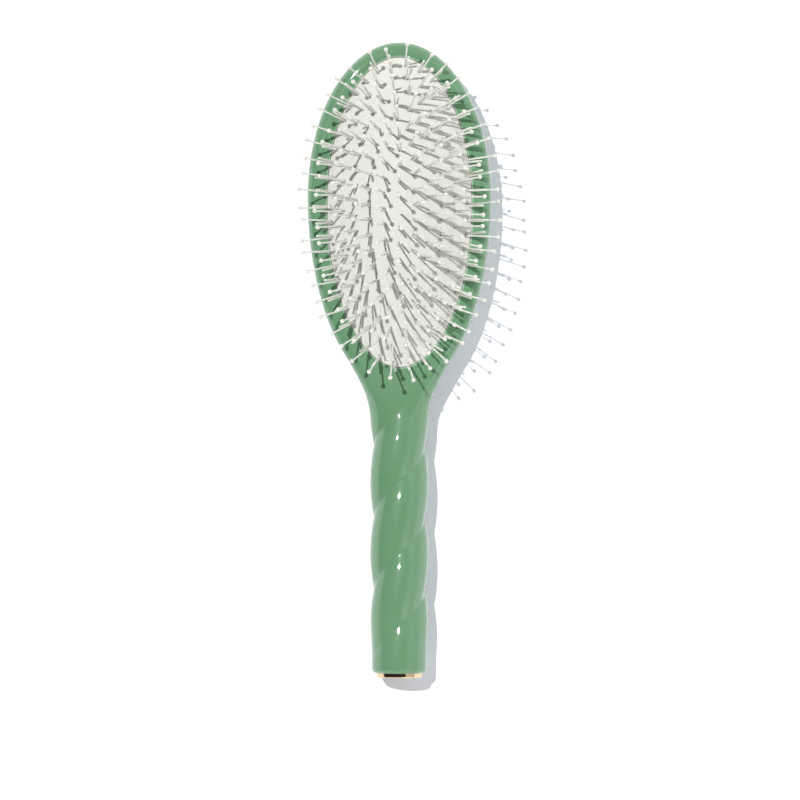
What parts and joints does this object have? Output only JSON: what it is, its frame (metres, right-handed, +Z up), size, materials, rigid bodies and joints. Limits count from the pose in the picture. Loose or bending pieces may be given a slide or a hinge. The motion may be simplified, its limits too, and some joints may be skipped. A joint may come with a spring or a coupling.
{
  "type": "hairbrush",
  "caption": "Oval air-cushion detangling brush: domed rubber pad with rings of ball-tipped pins and short bristles in a glossy paddle with a twisted handle and a metal end cap.",
  "frame": {"origin": "middle of the brush's length and width, on the surface that it lies on with its back down", "axes": "+Y along the brush from the handle's end cap to the head's tip, +X across the head, +Z up, the way the pins point"},
  "size_m": [0.0739, 0.23, 0.0488],
  "materials": {
    "green_lacquer": "glossy lacquer",
    "pad_rubber": "matt moulded rubber",
    "gold_plate": "polished gold-coloured plate",
    "pin_nylon": "translucent nylon with a cream ball",
    "bristle_nylon": "translucent nylon",
    "stud_plastic": "plain moulded plastic"
  },
  "bodies": {
    "brush": {"handle_body": "green_lacquer", "cushion": "pad_rubber", "end_cap": "gold_plate"},
    "spine_tufts": {"spine_pins": "pin_nylon", "spine_bristles": "bristle_nylon", "spine_studs": "stud_plastic"},
    "ring_1_tufts": {"ring_1_pins": "pin_nylon", "ring_1_bristles": "bristle_nylon", "ring_1_studs": "stud_plastic"},
    "ring_2_tufts": {"ring_2_pins": "pin_nylon", "ring_2_bristles": "bristle_nylon", "ring_2_studs": "stud_plastic"},
    "ring_3_tufts": {"ring_3_pins": "pin_nylon", "ring_3_bristles": "bristle_nylon", "ring_3_studs": "stud_plastic"},
    "ring_4_tufts": {"ring_4_pins": "pin_nylon", "ring_4_bristles": "bristle_nylon", "ring_4_studs": "stud_plastic"},
    "ring_5_tufts": {"ring_5_pins": "pin_nylon", "ring_5_bristles": "bristle_nylon", "ring_5_studs": "stud_plastic"}
  },
  "joints": [
    {"name": "cushion_press", "type": "slide", "parent": "brush", "child": "spine_tufts", "axis": [0, 0, -1], "range_m": [0, 0.003], "stiffness_N_per_m": 1500, "deforming": ["cushion"]},
    {"name": "ring_1_press", "type": "slide", "parent": "brush", "child": "ring_1_tufts", "axis": [0, 0, -1], "range_m": [0, 0.00281]},
    {"name": "ring_2_press", "type": "slide", "parent": "brush", "child": "ring_2_tufts", "axis": [0, 0, -1], "range_m": [0, 0.00238]},
    {"name": "ring_3_press", "type": "slide", "parent": "brush", "child": "ring_3_tufts", "axis": [0, 0, -1], "range_m": [0, 0.0018]},
    {"name": "ring_4_press", "type": "slide", "parent": "brush", "child": "ring_4_tufts", "axis": [0, 0, -1], "range_m": [0, 0.0011]},
    {"name": "ring_5_press", "type": "slide", "parent": "brush", "child": "ring_5_tufts", "axis": [0, 0, -1], "range_m": [0, 0.0003214]}
  ],
  "couplings": [
    {"joint": "ring_1_press", "follows": "cushion_press", "ratio": 0.9365},
    {"joint": "ring_2_press", "follows": "cushion_press", "ratio": 0.7922},
    {"joint": "ring_3_press", "follows": "cushion_press", "ratio": 0.5987},
    {"joint": "ring_4_press", "follows": "cushion_press", "ratio": 0.3674},
    {"joint": "ring_5_press", "follows": "cushion_press", "ratio": 0.1071}
  ]
}
